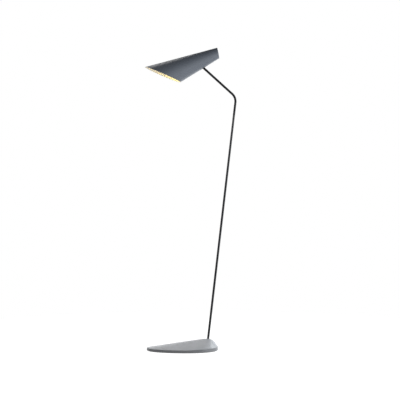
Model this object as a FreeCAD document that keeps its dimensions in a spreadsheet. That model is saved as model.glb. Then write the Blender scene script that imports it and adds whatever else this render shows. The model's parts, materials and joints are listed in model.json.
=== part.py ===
import FreeCAD, Part
import math
import os
import re

import Sketcher

# Floor-standing reading lamp.  Millimetres, +Z up.  The origin is on the floor, where the axis of
# the leaning stem meets it.  The shade and the long end of the foot point towards -X, and the
# lamp is symmetric about the XZ plane.

Vector = FreeCAD.Vector
Rotation = FreeCAD.Rotation
Placement = FreeCAD.Placement
UP = Vector(0, 0, 1)
ACROSS = Vector(0, 1, 0)
ALONG = Vector(1, 0, 0)

DIMENSIONS = {
    # cast foot: a low pebble, pointed at the front, with its crown at the stem
    "foot_front": 264, "foot_rear": 49.3, "foot_widest": 87, "foot_half_width": 98,
    "foot_rim": 13, "heel_rise": 6, "foot_crown": 51.2, "crown_land": 12,
    "foot_edge_round": 2, "edge_turn": 60,
    "pad_thick": 2, "pad_inset": 5, "plate_thick": 2, "plate_inset": 8,
    "recess_front": 200, "recess_rear": 31, "recess_half_width": 76, "recess_roof": 16,
    "dome_front_power": 0.93, "dome_rear_power": 0.58, "dome_side_power": 0.95,
    "land_margin": 0.5, "seat_height": 26, "seat_low": 6, "seat_radius": 13,
    "plate_screw_radius": 2, "plate_screw_head": 4, "plate_screw_deep": 10,
    "plate_screw_tip": 38, "plate_screw_side": 15, "plate_screw_rear": 21.3,
    "plate_screw_aside": 30, "plate_key_flats": 2.5, "plate_key_deep": 1.6,
    "pad_hole_radius": 5, "plate_play": 0.3, "hole_play": 0.1,
    # cord inlet at the back of the foot
    "gland_height": 9.8, "gland_bore": 3.1, "gland_radius": 4, "gland_flange": 5.5,
    "gland_flange_thick": 1.8, "gland_sink": 2, "gland_inner": 24.5, "gland_nut_thick": 5,
    "gland_nut_flats": 9.36, "gland_nut_seat": 30.6, "gland_edge": 0.6,
    # wiring parts inside the foot
    "clamp_forward": 25, "clamp_aside": 24, "clamp_spacing": 16, "clamp_long": 22,
    "clamp_wide": 8, "clamp_thick": 2, "clamp_gap": 6, "small_screw_radius": 1.5,
    "small_head_radius": 2.8, "small_head_thick": 2, "small_screw_grip": 6,
    "small_key_flats": 2, "small_key_deep": 1.2,
    "block_forward": 60, "block_long": 22, "block_wide": 18, "block_high": 10.5,
    "pole_aside": 5.4, "pole_height": 9, "pole_radius": 2.2, "pole_bore": 1.4,
    "pole_screw_radius": 1.2, "pole_screw_offset": 6, "pole_screw_sink": 0.6,
    "pole_inset": 1, "block_counterbore": 4,
    "earth_forward": 20, "earth_aside": 30, "tag_long": 14, "tag_wide": 8, "tag_thick": 0.8,
    "tag_shift": 3,
    # stem, bend and arm: one bent tube
    "stem_lean": 6.6, "stem_corner": 1121, "arm_rise": 42.2, "arm_length": 216.6,
    "bend_radius": 45, "tube_outer": 10, "tube_inner": 8, "stem_clearance": 0.1,
    "tube_foot": 34, "insert_low": 16, "insert_top": 54, "insert_bore": 2.9,
    "insert_edge": 0.5, "lock_washer_thick": 1.5, "lock_washer_radius": 9,
    "lock_nut_thick": 5, "lock_nut_flats": 14,
    # swivel at the end of the arm; distances are back from the tilt pivot, along the arm
    "tube_end": 11.6, "bush_flange": 1, "bush_length": 14, "bush_bore": 6, "neck_radius": 3.5,
    "neck_length": 1.5, "lug_half_angle": 12, "swivel_gap": 0.1, "spigot_clearance": 0.05,
    "collar_thick": 2.5, "spigot_length": 19, "spigot_bore": 1.8, "spigot_edge": 0.3,
    "clip_back": 27, "clip_thick": 0.7, "clip_groove": 2.3, "clip_radius": 3.7,
    "clip_play": 0.05, "lug_root": 0.2,
    "thrust_washer_thick": 0.5, "stop_pin_radius": 0.6, "stop_pin_out": 4.2,
    "stop_pin_reach": 1.2, "stop_pin_seat": 2,
    "fork_width": 8, "fork_gap": 6, "fork_outer": 10, "pivot_radius": 2, "pivot_clearance": 0.05,
    # shade: a cone whose axis droops forward, cut off obliquely at both ends
    "shade_droop": 23.3, "pivot_below_axis": 15, "cone_half_angle": 8.26, "cone_radius": 38.2,
    "shade_sheet": 1.2, "front_reach": 152.9, "front_cut": 43.7, "rear_reach": 101.5,
    "rear_cut": 12.2, "slot_centre": 18.9, "slot_length": 37, "slot_width": 12.6,
    "cap_sink": 0.8, "cap_thick": 2, "cap_vent_ring": 13, "cap_vent_radius": 2, "cap_vents": 8,
    "blank_back": 12, "blank_front": 78, "blank_reach": 16,
    # bracket that joins the shade, the lampholder and the tilt pivot
    "web_front": 13.2, "bracket_sheet": 1.2, "web_half_width": 11, "ear_inner": 5.6,
    "ear_radius": 5, "web_shoulder": 1, "web_flare": 3, "web_taper": 8,
    "flange_drop": 1.6, "flange_back": 16, "flange_half_width": 8,
    "stud_front": 3, "stud_back": 10, "stud_radius": 1.5, "stud_foot": 3, "stud_length": 9,
    "stud_gap": 0.13, "stud_hole_shift": 0.3, "stud_hole_play": 0.25,
    "stud_washer_thick": 0.5, "stud_washer_radius": 3.2, "stud_nut_thick": 2.4,
    "stud_nut_flats": 5.5,
    "pivot_head_radius": 3.5, "pivot_head_thick": 2.4, "pivot_head_edge": 0.8,
    "pivot_key_flats": 2.5, "pivot_key_deep": 1.4, "pivot_tail_edge": 0.4,
    "friction_washer_thick": 0.5, "friction_washer_radius": 4.5,
    "spring_washer_thick": 0.9, "spring_washer_radius": 3.8, "pivot_nut_thick": 3.8,
    "pivot_nut_flats": 7, "pivot_tail": 0.8,
    # lampholder and bulb, on the axis of the cone
    "nipple_radius": 5, "nipple_bore": 3.5, "nipple_back": 6, "nipple_front": 24,
    "nipple_nut_thick": 3.2, "nipple_nut_flats": 14,
    "holder_cap_radius": 13.5, "holder_cap_long": 14, "holder_cap_edge": 1.5,
    "holder_step": 3, "holder_edge": 0.6,
    "holder_radius": 12.3, "holder_front": 62, "holder_cavity": 8.3,
    "holder_floor": 35, "holder_floor_thick": 3, "holder_chamber": 8.5, "holder_hole": 4,
    "ring_back": 46, "ring_thick": 7, "ring_radius": 17, "ring_notches": 18,
    "ring_notch_radius": 1.7,
    "bulb_tip": 38.2, "bulb_cap_radius": 6.95, "bulb_cap_back": 41, "bulb_cap_front": 59,
    "globe_radius": 22.5, "globe_centre": 94, "globe_neck": 8.2, "globe_wall": 1,
    "tip_radius": 2.4, "tip_edge": 0.8, "tip_thick": 1.4, "seal_radius": 5.5,
    "cap_wall": 0.4, "cap_shoulder": 1.5, "cap_floor": 2, "neck_rise": 2,
    "contact_sheet": 0.5, "contact_half_width": 2, "contact_foot": 6.5, "contact_fold": 2,
    "contact_tip_out": 3, "contact_tip_in": 1.4, "contact_top": 10, "contact_touch": 14,
    "contact_return": 19,
    # two-core lead inside the tube
    "core_radius": 0.75, "core_aside": 0.85, "core_bypass": 3.6,
}

doc = FreeCAD.newDocument("reading_lamp")
sheet = doc.addObject("Spreadsheet::Sheet", "dims")
for row, (alias, size) in enumerate(DIMENSIONS.items(), start=1):
    sheet.set(f"A{row}", alias)
    sheet.set(f"B{row}", str(size))
    sheet.setAlias(f"B{row}", alias)
doc.recompute()

parts = []


# ---------------------------------------------------------------- expressions and placements

def full(expression):
    """The expression with every alias written as dims.alias."""
    return re.sub(r"[a-z_]+", lambda word: "dims." + word[0] if word[0] in DIMENSIONS else word[0],
                  expression)


def value(expression):
    """The number that an expression on the sheet stands for."""
    result = sheet.evalExpression(full(expression))
    return float(getattr(result, "Value", result))


def turned_about_y(angle, x=0.0, z=0.0):
    return Placement(Vector(x, 0, z), Rotation(ACROSS, angle))


GROUND = Placement()
STEM = turned_about_y(value("stem_lean"))
CORNER = STEM.multVec(Vector(0, 0, value("stem_corner")))
ARM_TURN = value("arm_rise - 90")
ARM_DIRECTION = Rotation(ACROSS, ARM_TURN).multVec(UP)
PIVOT = CORNER + ARM_DIRECTION * value("arm_length")
# Along the arm, with its zero at the tilt pivot.
ARM = Placement(PIVOT, Rotation(ACROSS, ARM_TURN))
DATUM = PIVOT + ARM_DIRECTION * value("pivot_below_axis")
# Along the cone's axis: z runs forward and down, x runs to the upper side of the shade.
LAMP = Placement(DATUM, Rotation(ACROSS, value("-90 - shade_droop")))
# Along the inside of the shade's upper wall: x runs out through the sheet.
WALL = LAMP.multiply(turned_about_y(value("cone_half_angle"),
                                    x=value("cone_radius - shade_sheet / cos(cone_half_angle)")))
# Along the tilt pivot: z runs across the lamp.
AXLE = Placement(PIVOT, LAMP.Rotation.multiply(Rotation(ALONG, -90)))
# Along the cord inlet: z runs out of the back of the foot.
INLET = Placement(Vector(0, 0, value("gland_height")), Rotation(ACROSS, 90))


# ---------------------------------------------------------------- sketches and features

def new_body(label, placement=GROUND):
    body = doc.addObject("PartDesign::Body", label)
    body.Label = label
    body.AllowCompound = True
    body.Placement = placement
    parts.append(body)
    return body


def sketch_on(body, role, offset="0"):
    """A sketch on one of the body's origin planes, moved along the plane's normal."""
    sketch = body.newObject("Sketcher::SketchObject", body.Name + "_sketch")
    plane = next(item for item in body.Origin.OriginFeatures if item.Role == role)
    sketch.AttachmentSupport = [(plane, "")]
    sketch.MapMode = "FlatFace"
    sketch.setExpression("AttachmentOffset.Base.z", full(offset))
    return sketch


def constrain(sketch, kind, target, expression):
    index = sketch.addConstraint(Sketcher.Constraint(kind, *target, value(expression)))
    sketch.setExpression(f"Constraints[{index}]", full(expression))


def outline(body, role, corners, offset="0"):
    """A closed outline.  A corner is (x, y); (x, y, bulge x, bulge y, centre x, centre y) is a
    corner that an arc reaches from the corner before it, by way of the bulge point."""
    sketch = sketch_on(body, role, offset)
    places = [Vector(value(corner[0]), value(corner[1]), 0) for corner in corners]
    for index, corner in enumerate(corners):
        start = places[index - 1]
        end = places[index]
        if len(corner) == 2:
            sketch.addGeometry(Part.LineSegment(start, end))
            ends = (1, 2)
        else:
            bulge = Vector(value(corner[2]), value(corner[3]), 0)
            arc = sketch.addGeometry(Part.Arc(start, bulge, end))
            forward = sketch.getPoint(arc, 1).distanceToPoint(start) < 1e-6
            ends = (1, 2) if forward else (2, 1)
            chord = end - start
            if abs(chord.x) > abs(chord.y):
                constrain(sketch, "DistanceY", (-1, 1, arc, 3), corner[5])
            else:
                constrain(sketch, "DistanceX", (-1, 1, arc, 3), corner[4])
        if index:
            sketch.addConstraint(Sketcher.Constraint("Coincident", index - 1, last, index, ends[0]))
        else:
            first = ends[0]
        last = ends[1]
        constrain(sketch, "DistanceX", (-1, 1, index, last), corner[0])
        constrain(sketch, "DistanceY", (-1, 1, index, last), corner[1])
    sketch.addConstraint(Sketcher.Constraint("Coincident", len(corners) - 1, last, 0, first))
    return sketch


def circles(body, role, centres, radius, offset="0"):
    """A sketch of equal circles at the given (x, y) centres."""
    sketch = sketch_on(body, role, offset)
    for x, y in centres:
        centre = Vector(value(x), value(y), 0)
        index = sketch.addGeometry(Part.Circle(centre, UP, value(radius)))
        constrain(sketch, "DistanceX", (-1, 1, index, 3), x)
        constrain(sketch, "DistanceY", (-1, 1, index, 3), y)
        constrain(sketch, "Radius", (index,), radius)
    return sketch


def hexagons(body, role, centres, flats, offset="0"):
    """A sketch of equal hexagons, given by the distance across their flats."""
    sketch = sketch_on(body, role, offset)
    reach = value(flats) / math.sqrt(3)
    for x, y in centres:
        centre = Vector(value(x), value(y), 0)
        first = sketch.GeometryCount
        turns = [math.radians(30 + 60 * side) for side in range(7)]
        points = [centre + Vector(reach * math.cos(turn), reach * math.sin(turn), 0)
                  for turn in turns]
        for side in range(6):
            sketch.addGeometry(Part.LineSegment(points[side], points[side + 1]))
        circle = sketch.addGeometry(Part.Circle(centre, UP, reach), True)
        for side in range(6):
            after = first + (side + 1) % 6
            sketch.addConstraint(Sketcher.Constraint("Coincident", first + side, 2, after, 1))
            sketch.addConstraint(Sketcher.Constraint("PointOnObject", first + side, 2, circle))
            if side:
                sketch.addConstraint(Sketcher.Constraint("Equal", first, first + side))
        constrain(sketch, "DistanceX", (-1, 1, circle, 3), x)
        constrain(sketch, "DistanceY", (-1, 1, circle, 3), y)
        constrain(sketch, "Radius", (circle,), f"({flats}) / sqrt(3)")
        sketch.addConstraint(Sketcher.Constraint("Vertical", first + 5))
    return sketch


def pad(body, sketch, length, midplane=False, backwards=False, taper=0.0):
    feature = body.newObject("PartDesign::Pad", body.Name + "_pad")
    feature.Profile = sketch
    feature.setExpression("Length", full(length))
    feature.SideType = "Symmetric" if midplane else "One side"
    feature.Reversed = backwards
    feature.TaperAngle = taper
    doc.recompute()
    return feature


def pocket(body, sketch, length, midplane=False, backwards=False):
    """A pocket that has to take something away."""
    before = body.Shape.Volume
    feature = body.newObject("PartDesign::Pocket", body.Name + "_pocket")
    feature.Profile = sketch
    feature.setExpression("Length", full(length))
    feature.SideType = "Symmetric" if midplane else "One side"
    feature.Reversed = backwards
    doc.recompute()
    if body.Shape.Volume >= before - 1e-6:
        raise RuntimeError(f"{feature.Name} cuts nothing")
    return feature


def revolution(body, sketch, groove=False):
    """The profile turned once round the sketch's vertical axis."""
    kind = "PartDesign::Groove" if groove else "PartDesign::Revolution"
    feature = body.newObject(kind, body.Name + "_turned")
    feature.Profile = sketch
    feature.ReferenceAxis = (sketch, ["V_Axis"])
    feature.Angle = 360
    doc.recompute()
    return feature


def turned_part(label, placement, profile):
    """A part turned about its own z axis, from corners given as (radius, height)."""
    body = new_body(label, placement)
    revolution(body, outline(body, "XZ_Plane", profile))
    return body


def ring(label, placement, inner, outer, low, high):
    """A plain washer or tube between two radii and two heights."""
    corners = [(inner, low), (outer, low), (outer, high), (inner, high)]
    return turned_part(label, placement, corners)


def hex_nut(label, placement, centres, flats, bore, low, thick, role="XY_Plane", backwards=False):
    body = new_body(label, placement)
    pad(body, hexagons(body, role, centres, flats, low), thick, backwards=backwards)
    pocket(body, circles(body, role, centres, bore, low), thick, backwards=not backwards)
    return body


def strand(points, bends, radius):
    """A round core along straight runs joined by tangent arcs, one bend radius per corner."""
    edges = []
    start = points[0]
    for before, corner, after, bend in zip(points, points[1:], points[2:], bends):
        incoming = (corner - before).normalize()
        outgoing = (after - corner).normalize()
        half_turn = incoming.getAngle(outgoing) / 2
        tangent = bend * math.tan(half_turn)
        entry = corner - incoming * tangent
        leave = corner + outgoing * tangent
        inward = (outgoing - incoming).normalize()
        middle = corner + inward * (bend / math.cos(half_turn) - bend)
        edges.append(Part.LineSegment(start, entry).toShape())
        edges.append(Part.Arc(entry, middle, leave).toShape())
        start = leave
    edges.append(Part.LineSegment(start, points[-1]).toShape())
    path = Part.Wire(edges)
    direction = (points[1] - points[0]).normalize()
    section = Part.Wire([Part.Circle(points[0], direction, radius).toShape()])
    solid = path.makePipeShell([section], True, False)
    expected = math.pi * radius ** 2 * path.Length
    if abs(solid.Volume - expected) > 0.02 * expected:
        raise RuntimeError("a strand has the wrong volume")
    return solid


def two_cores(label, routes, bends):
    """The two cores of the lead; each route is a list of points in the lamp's frame."""
    feature = doc.addObject("Part::Feature", label)
    feature.Label = label
    radius = value("core_radius")
    feature.Shape = Part.Compound([strand(route, bends, radius) for route in routes])
    parts.append(feature)
    return feature


# ---------------------------------------------------------------- foot

# How far up the dome each of its sections is, from the rounded edge (0) to the crown (1), and
# the number of steps that the rounded edge turns in.
DOME_LEVELS = (0.0, 0.15, 0.35, 0.6, 0.8, 0.93, 1.0)
EDGE_STEPS = 4


def egg_wire(z, front, rear, half_width, widest, heel_rise=0.0):
    """Two half ellipses that meet at the widest place: the longer one points to the front, and
    the rear one may rise towards its end."""
    centre = Vector(-widest, 0, z)
    side = Vector(-widest, half_width, z)
    nose = Part.Ellipse(Vector(-front, 0, z), side, centre)
    heel = Part.Ellipse(Vector(rear, 0, z + heel_rise), side, centre)
    quarter = math.pi / 2
    arcs = [Part.ArcOfEllipse(nose, -quarter, quarter), Part.ArcOfEllipse(heel, -quarter, quarter)]
    return Part.Wire([arc.toShape() for arc in arcs])


def foot_ring(height, inset=0.0, heel_rise=0.0):
    """The foot's outline at a height, drawn in by an inset."""
    return egg_wire(height, value("foot_front") - inset, value("foot_rear") - inset,
                    value("foot_half_width") - inset, value("foot_widest"), heel_rise)


def egg_slab(z, thick, inset="0"):
    """A flat slab with the foot's outline, drawn in by an inset."""
    return Part.Face(foot_ring(value(z), value(inset))).extrude(UP * value(thick))


def edge_places():
    """The height and inset of each ring of the rounded edge, from the wall to the dome."""
    radius = value("foot_edge_round")
    places = []
    for step in range(EDGE_STEPS + 1):
        turn = math.radians(value("edge_turn") * step / EDGE_STEPS)
        height = value("foot_rim") - radius * (1 - math.sin(turn))
        places.append((height, radius * (1 - math.cos(turn))))
    return places


def dome_rings(shoulder, inset):
    """Egg sections that shrink from the rounded edge to the flat land round the stem."""
    land = value("crown_land")
    reach = value("crown_land + land_margin")
    rings = []
    for rise in DOME_LEVELS:
        left = 1.0 - rise
        front = reach + (value("foot_front") - inset - reach) * left ** value("dome_front_power")
        rear = reach + (value("foot_rear") - inset - reach) * left ** value("dome_rear_power")
        aside = value("foot_half_width") - inset - land
        half_width = land + aside * left ** value("dome_side_power")
        height = shoulder + (value("foot_crown") - shoulder) * rise
        rings.append(egg_wire(height, front, rear, half_width, value("foot_widest") * left,
                              value("heel_rise") * left))
    return rings


def foot_form():
    """The foot before it is cut: an upright wall whose top rises at the rear, a rounded edge and
    a dome, sewn into one solid."""
    places = edge_places()
    base = foot_ring(value("pad_thick"))
    edge = [foot_ring(height, inset, value("heel_rise")) for height, inset in places]
    dome = dome_rings(*places[-1])
    faces = Part.makeLoft([base, edge[0]], False, True).Faces
    faces += Part.makeLoft(edge, False, False).Faces
    faces += Part.makeLoft(dome, False, False).Faces
    faces += [Part.Face(base), Part.Face(dome[-1])]
    shell = Part.makeShell(faces)
    shell.sewShape()
    form = Part.makeSolid(shell)
    if form.Volume < 0:
        form.reverse()
    return form


def feature_of(label, shape):
    feature = doc.addObject("Part::Feature", label)
    feature.Label = label
    feature.Shape = shape
    return feature


def cylinder_tool(name, placement, radius, low, high):
    tool = doc.addObject("Part::Cylinder", name)
    tool.setExpression("Radius", full(radius))
    tool.setExpression("Height", full(f"({high}) - ({low})"))
    tool.Placement = placement.multiply(Placement(Vector(0, 0, value(low)), Rotation()))
    return tool


def cut_part(label, base, tools):
    """Base less every tool, as one parametric cut."""
    tool = tools[0]
    if len(tools) > 1:
        tool = doc.addObject("Part::MultiFuse", label + "_tools")
        tool.Shapes = tools
    cut = doc.addObject("Part::Cut", label)
    cut.Label = label
    cut.Base = base
    cut.Tool = tool
    parts.append(cut)
    doc.recompute()
    return cut


PLATE_SCREWS = [("-foot_front + plate_screw_tip", "0"),
                ("-foot_widest", "foot_half_width - plate_screw_side"),
                ("-foot_widest", "plate_screw_side - foot_half_width"),
                ("foot_rear - plate_screw_rear", "plate_screw_aside"),
                ("foot_rear - plate_screw_rear", "-plate_screw_aside")]
BLOCK_CENTRE = "-block_forward"
EARTH_PLACE = ("-earth_forward", "-earth_aside")
CLAMP_SCREWS = [("-clamp_forward", "clamp_aside - clamp_spacing / 2"),
                ("-clamp_forward", "clamp_aside + clamp_spacing / 2")]


def at(x, y):
    return Placement(Vector(value(x), value(y), 0), Rotation())


def base_casting():
    """Iron casting: rim, dome, wiring recess, stem bore with its seat, and tapped holes."""
    form = feature_of("foot_form", foot_form())
    rebate = feature_of("plate_rebate", egg_slab("pad_thick", "plate_thick", "plate_inset"))
    recess_wire = egg_wire(value("pad_thick"), value("recess_front"), value("recess_rear"),
                           value("recess_half_width"), value("foot_widest"))
    recess = feature_of("wiring_recess",
                        Part.Face(recess_wire).extrude(UP * value("recess_roof - pad_thick")))
    tools = [rebate, recess]
    tools.append(cylinder_tool("stem_bore", STEM, "tube_outer / 2 + stem_clearance", "0",
                               "foot_crown + 10"))
    tools.append(cylinder_tool("stem_seat", STEM, "seat_radius", "seat_low", "seat_height"))
    for number, (x, y) in enumerate(PLATE_SCREWS, start=1):
        tools.append(cylinder_tool(f"plate_hole_{number}", at(x, y), "plate_screw_radius", "0",
                                   "plate_screw_deep + pad_thick"))
    tools.append(cylinder_tool("gland_hole", INLET, "gland_radius", "gland_inner", "foot_rear"))
    tools.append(cylinder_tool("gland_sink_hole", INLET, "gland_flange + plate_play",
                               "foot_rear - gland_sink", "foot_rear + 5"))
    roof_holes = CLAMP_SCREWS + [(BLOCK_CENTRE, "0"), EARTH_PLACE]
    for number, (x, y) in enumerate(roof_holes, start=1):
        tools.append(cylinder_tool(f"roof_hole_{number}", at(x, y), "small_screw_radius",
                                   "recess_roof - 1", "recess_roof + small_screw_grip"))
    return cut_part("base_casting", form, tools)


def bottom_plate():
    blank = feature_of("plate_blank", egg_slab("pad_thick", "plate_thick",
                                                 "plate_inset + plate_play"))
    tools = []
    for number, (x, y) in enumerate(PLATE_SCREWS, start=1):
        sink = doc.addObject("Part::Cone", f"plate_sink_{number}")
        sink.setExpression("Radius1", full("plate_screw_head"))
        sink.setExpression("Radius2", full("plate_screw_radius"))
        sink.setExpression("Height", full("plate_thick"))
        sink.Placement = at(x, y).multiply(Placement(UP * value("pad_thick"), Rotation()))
        tools.append(sink)
    return cut_part("bottom_plate", blank, tools)


def base_pad():
    blank = feature_of("pad_blank", egg_slab("0", "pad_thick", "pad_inset"))
    tools = [cylinder_tool(f"pad_hole_{number}", at(x, y), "pad_hole_radius", "-1", "pad_thick + 1")
             for number, (x, y) in enumerate(PLATE_SCREWS, start=1)]
    return cut_part("base_pad", blank, tools)


def plate_screws():
    """Countersunk screws: the heads fill the cones in the plate."""
    body = new_body("bottom_plate_screws")
    pad(body, circles(body, "XY_Plane", PLATE_SCREWS, "plate_screw_radius", "pad_thick"),
        "plate_screw_deep")
    spread = value("atan((plate_screw_head - plate_screw_radius) / plate_thick)")
    heads = circles(body, "XY_Plane", PLATE_SCREWS, "plate_screw_head", "pad_thick")
    pad(body, heads, "plate_thick", taper=-spread)
    keys = hexagons(body, "XY_Plane", PLATE_SCREWS, "plate_key_flats", "pad_thick")
    pocket(body, keys, "plate_key_deep", backwards=True)
    return body


def gland():
    outer_face = "foot_rear - gland_sink + gland_flange_thick"
    turned_part("cord_gland", INLET, [
        ("gland_bore", "gland_inner"), ("gland_radius", "gland_inner"),
        ("gland_radius", "foot_rear - gland_sink"), ("gland_flange", "foot_rear - gland_sink"),
        ("gland_flange", f"{outer_face} - gland_edge"),
        ("gland_flange - gland_edge", outer_face),
        ("gland_bore", outer_face)])
    hex_nut("gland_nut", INLET, [("0", "0")], "gland_nut_flats", "gland_radius",
            "gland_nut_seat - gland_nut_thick", "gland_nut_thick")


def roof_screws(label, centres, under_head):
    """Pan-head screws that go up into the roof of the recess; under_head is the head's seat."""
    body = new_body(label)
    pad(body, circles(body, "XY_Plane", centres, "small_screw_radius", under_head),
        f"recess_roof + small_screw_grip - ({under_head})")
    pad(body, circles(body, "XY_Plane", centres, "small_head_radius", under_head),
        "small_head_thick", backwards=True)
    keys = hexagons(body, "XY_Plane", centres, "small_key_flats",
                    f"{under_head} - small_head_thick")
    pocket(body, keys, "small_key_deep", backwards=True)
    return body


def rectangle(x, y, long, wide):
    """Corners of a rectangle about a centre."""
    return [(f"{x} - {long} / 2", f"{y} - {wide} / 2"), (f"{x} + {long} / 2", f"{y} - {wide} / 2"),
            (f"{x} + {long} / 2", f"{y} + {wide} / 2"), (f"{x} - {long} / 2", f"{y} + {wide} / 2")]


def cord_clamp():
    low = "recess_roof - clamp_gap - clamp_thick"
    body = new_body("cord_clamp")
    pad(body, outline(body, "XY_Plane", rectangle("-clamp_forward", "clamp_aside", "clamp_wide",
                                                  "clamp_long"), low), "clamp_thick")
    pocket(body, circles(body, "XY_Plane", CLAMP_SCREWS, "small_screw_radius + hole_play", low),
           "clamp_thick", backwards=True)
    roof_screws("cord_clamp_screws", CLAMP_SCREWS, low)


def terminal_block():
    """Two-pole block: brass tubes in a moulded body, each with a clamping screw from below."""
    low = "recess_roof - block_high"
    poles = ["pole_aside", "-pole_aside"]
    body = new_body("terminal_block")
    pad(body, outline(body, "XY_Plane", rectangle("-block_forward", "0", "block_long",
                                                  "block_wide"), low), "block_high")
    tubes = [(aside, "pole_height") for aside in poles]
    pocket(body, circles(body, "YZ_Plane", tubes, "pole_radius", "-block_forward"),
           "block_long", midplane=True)
    pocket(body, circles(body, "XY_Plane", [(BLOCK_CENTRE, "0")], "small_screw_radius + hole_play", low),
           "block_high", backwards=True)
    pocket(body, circles(body, "XY_Plane", [(BLOCK_CENTRE, "0")], "small_head_radius + hole_play", low),
           "block_counterbore", backwards=True)
    places = [(f"-block_forward {sign} pole_screw_offset", aside)
              for aside in poles for sign in "+-"]
    pocket(body, circles(body, "XY_Plane", places, "pole_screw_radius", low),
           "pole_height - recess_roof + block_high", backwards=True)

    brass = new_body("terminal_tubes")
    pad(brass, circles(brass, "YZ_Plane", tubes, "pole_radius", "-block_forward"),
        "block_long - 2 * pole_inset", midplane=True)
    pocket(brass, circles(brass, "YZ_Plane", tubes, "pole_bore", "-block_forward"),
           "block_long", midplane=True)
    pocket(brass, circles(brass, "XY_Plane", places, "pole_screw_radius", low),
           "pole_height - recess_roof + block_high", backwards=True)

    screws = new_body("terminal_screws")
    pad(screws, circles(screws, "XY_Plane", places, "pole_screw_radius", f"{low} + pole_screw_sink"),
        "pole_height - core_radius - recess_roof + block_high - pole_screw_sink")
    roof_screws("terminal_block_screw", [(BLOCK_CENTRE, "0")], f"{low} + block_counterbore")


def earth_point():
    body = new_body("earth_tag")
    x, y = EARTH_PLACE
    pad(body, outline(body, "XY_Plane", rectangle(f"{x} - tag_shift", y, "tag_long", "tag_wide"),
                      "recess_roof - tag_thick"), "tag_thick")
    pocket(body, circles(body, "XY_Plane", [EARTH_PLACE], "small_screw_radius + hole_play",
                         "recess_roof - tag_thick"), "tag_thick", backwards=True)
    roof_screws("earth_screw", [EARTH_PLACE], "recess_roof - tag_thick")


# ---------------------------------------------------------------- stem and arm

def stem_tube():
    """One tube: stem, bend and arm, swept along a line, an arc and a line."""
    body = new_body("stem_tube", STEM)
    turn = value("90 - arm_rise + stem_lean")
    bend = value("bend_radius")
    straight = value("stem_corner") - bend * math.tan(math.radians(turn / 2))
    start = Vector(0, value("tube_foot"), 0)
    entry = Vector(0, straight, 0)
    arc = Part.ArcOfCircle(Part.Circle(entry - ALONG * bend, UP, bend), 0, math.radians(turn))
    onward = Vector(-math.sin(math.radians(turn)), math.cos(math.radians(turn)), 0)
    run = value("arm_length - tube_end - bend_radius * tan((90 - arm_rise + stem_lean) / 2)")
    path = sketch_on(body, "XZ_Plane")
    path.addGeometry(Part.LineSegment(start, entry))
    path.addGeometry(arc)
    path.addGeometry(Part.LineSegment(arc.EndPoint, arc.EndPoint + onward * run))
    path.addConstraint(Sketcher.Constraint("Tangent", 0, 2, 1, 1))
    path.addConstraint(Sketcher.Constraint("Tangent", 1, 2, 2, 1))
    path.addConstraint(Sketcher.Constraint("Vertical", 0))
    constrain(path, "DistanceX", (-1, 1, 0, 1), "0")
    constrain(path, "DistanceY", (-1, 1, 0, 1), "tube_foot")
    constrain(path, "DistanceY", (-1, 1, 0, 2),
              "stem_corner - bend_radius * tan((90 - arm_rise + stem_lean) / 2)")
    constrain(path, "Radius", (1,), "bend_radius")
    constrain(path, "Distance", (2,),
              "arm_length - tube_end - bend_radius * tan((90 - arm_rise + stem_lean) / 2)")
    section = circles(body, "XY_Plane", [("0", "0")], "tube_outer / 2", "tube_foot")
    inner = section.addGeometry(Part.Circle(Vector(), UP, value("tube_inner / 2")))
    section.addConstraint(Sketcher.Constraint("Coincident", 0, 3, inner, 3))
    constrain(section, "Radius", (inner,), "tube_inner / 2")
    doc.recompute()
    pipe = body.newObject("PartDesign::AdditivePipe", "tube_sweep")
    pipe.Profile = section
    pipe.Spine = (path, ["Edge1", "Edge2", "Edge3"])
    doc.recompute()
    return body


def stem_fixing():
    """Threaded end brazed into the tube, with the washer and nut that pull the stem home."""
    turned_part("stem_threaded_end", STEM, [
        ("insert_bore", "insert_low"), ("tube_outer / 2 - insert_edge", "insert_low"),
        ("tube_outer / 2", "insert_low + insert_edge"), ("tube_outer / 2", "tube_foot"),
        ("tube_inner / 2", "tube_foot"), ("tube_inner / 2", "insert_top"),
        ("insert_bore", "insert_top")])
    ring("stem_lock_washer", STEM, "tube_outer / 2", "lock_washer_radius",
         "seat_height - lock_washer_thick", "seat_height")
    hex_nut("stem_lock_nut", STEM, [("0", "0")], "lock_nut_flats", "tube_outer / 2",
            "seat_height - lock_washer_thick - lock_nut_thick", "lock_nut_thick")


# ---------------------------------------------------------------- swivel at the arm's end

def swivel_bush():
    """Bearing bush pressed into the tube; the lug on its neck is the swivel's stop."""
    body = turned_part("swivel_bush", ARM, [
        ("bush_bore / 2", "-tube_end - bush_length"), ("tube_inner / 2", "-tube_end - bush_length"),
        ("tube_inner / 2", "-tube_end"), ("tube_outer / 2", "-tube_end"),
        ("tube_outer / 2", "-tube_end + bush_flange"), ("neck_radius", "-tube_end + bush_flange"),
        ("neck_radius", "-tube_end + bush_flange + neck_length"),
        ("bush_bore / 2", "-tube_end + bush_flange + neck_length")])
    inner = "neck_radius - lug_root"
    outer = "tube_outer / 2"
    corners = [(f"({inner}) * cos(lug_half_angle)", f"-({inner}) * sin(lug_half_angle)"),
               (f"({outer}) * cos(lug_half_angle)", f"-({outer}) * sin(lug_half_angle)"),
               (f"({outer}) * cos(lug_half_angle)", f"({outer}) * sin(lug_half_angle)",
                outer, "0", "0", "0"),
               (f"({inner}) * cos(lug_half_angle)", f"({inner}) * sin(lug_half_angle)")]
    pad(body, outline(body, "XY_Plane", corners, "-tube_end + bush_flange"), "neck_length")


COLLAR_LOW = "(-tube_end + bush_flange + neck_length + swivel_gap)"
COLLAR_TOP = "(-tube_end + bush_flange + neck_length + swivel_gap + collar_thick)"


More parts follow.
